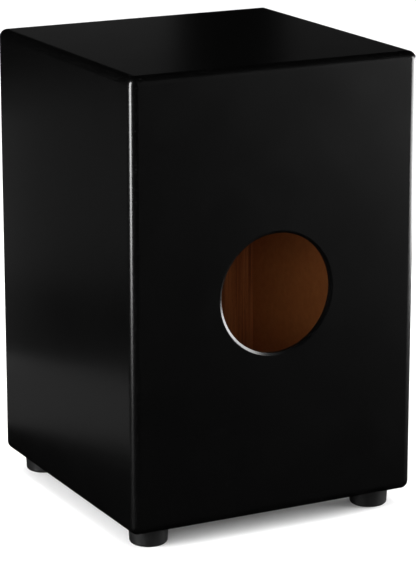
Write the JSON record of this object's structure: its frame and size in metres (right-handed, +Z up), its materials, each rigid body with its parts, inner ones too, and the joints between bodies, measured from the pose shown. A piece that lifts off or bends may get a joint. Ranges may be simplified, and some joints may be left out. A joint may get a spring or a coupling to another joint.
{
  "type": "cajon",
  "caption": "Upright box drum with a black lacquered body, a thin wooden playing face, a round sound hole in the rear panel and round rubber feet.",
  "frame": {"origin": "on the floor under the middle of the box", "axes": "+Z up, -Y out of the playing face, +Y out of the rear panel with the sound hole"},
  "size_m": [0.3, 0.3, 0.45],
  "materials": {
    "lacquered_board": "fibreboard in satin black lacquer outside, bare brown inside",
    "tapa_veneer": "straight-grained plywood, satin lacquer in front, bare behind",
    "pine_batten": "planed, bare",
    "snare_steel": "bright drawn wire and plated strip",
    "black_screw": "black phosphated steel",
    "zinc_steel": "zinc plated",
    "felt": "dense wool felt",
    "foot_rubber": "moulded, satin"
  },
  "bodies": {
    "root": {"seat_panel": "lacquered_board", "base_panel": "lacquered_board", "rear_panel": "lacquered_board", "left_side_panel": "lacquered_board", "right_side_panel": "lacquered_board", "tapa": "tapa_veneer", "seat_cleat_left": "pine_batten", "seat_cleat_right": "pine_batten", "base_cleat_left": "pine_batten", "base_cleat_right": "pine_batten", "snare_beam": "pine_batten", "beam_block_left": "pine_batten", "beam_block_right": "pine_batten", "snare_strip_left": "snare_steel", "snare_strip_right": "snare_steel", "snare_strands_left": "snare_steel", "snare_strands_right": "snare_steel", "tapa_screws_left": "black_screw", "tapa_screws_right": "black_screw", "tapa_screws_top": "black_screw", "tapa_screws_bottom": "black_screw", "beam_screws": "zinc_steel", "snare_strip_screws": "zinc_steel", "foot_washers": "zinc_steel", "foot_screws": "zinc_steel", "felt_pad": "felt", "foot_front_left": "foot_rubber", "foot_front_right": "foot_rubber", "foot_rear_left": "foot_rubber", "foot_rear_right": "foot_rubber"}
  },
  "joints": []
}
